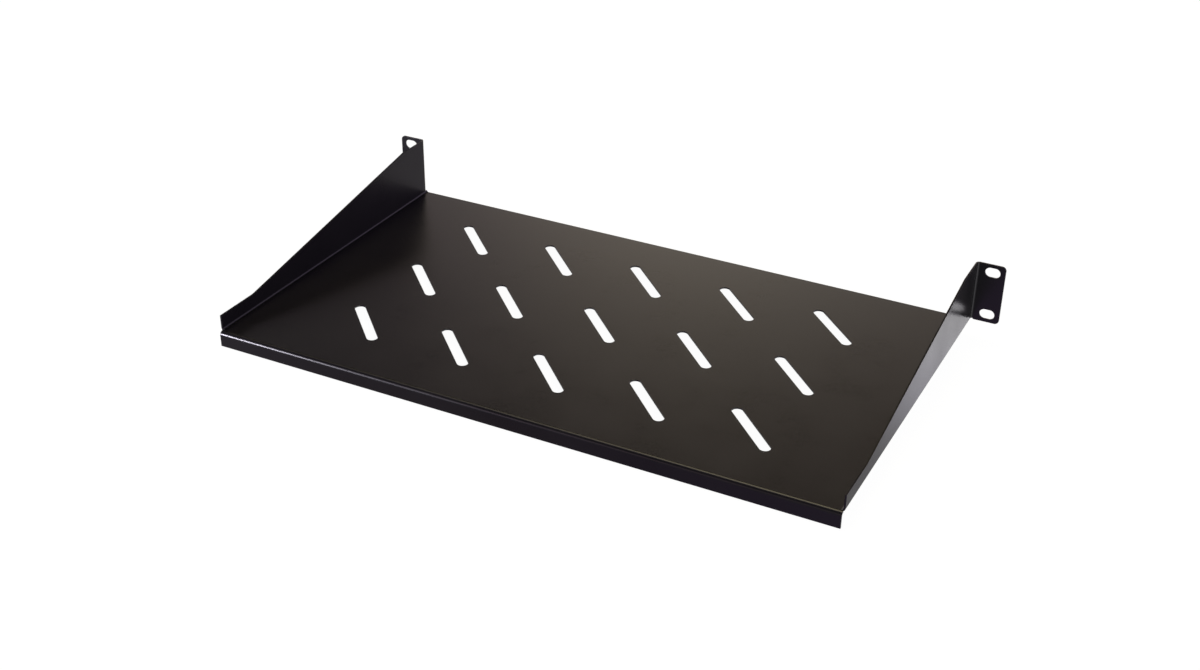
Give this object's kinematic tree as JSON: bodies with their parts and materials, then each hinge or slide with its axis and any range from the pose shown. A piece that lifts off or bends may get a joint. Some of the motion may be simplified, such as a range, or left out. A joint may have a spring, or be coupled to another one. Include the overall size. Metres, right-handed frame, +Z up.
{
  "type": "cantilever rack shelf",
  "caption": "Folded sheet-metal cantilever rack shelf: flat tray with slanted vent slots, tapering side walls, slotted rack ears at the front and a turned-down lip along the back edge.",
  "frame": {"origin": "centre of the four ear slots, in the plane of the ears' mating face, the face that bears on the rack's posts", "axes": "+X across the rack, +Y from the front of the rack towards the back, along which the tray cantilevers, +Z up; the tray is level"},
  "size_m": [0.4826, 0.258, 0.0554],
  "materials": {
    "black_coat": "smooth semi-gloss black coating on folded steel sheet"
  },
  "bodies": {
    "root": {"shelf": "black_coat"}
  },
  "joints": []
}
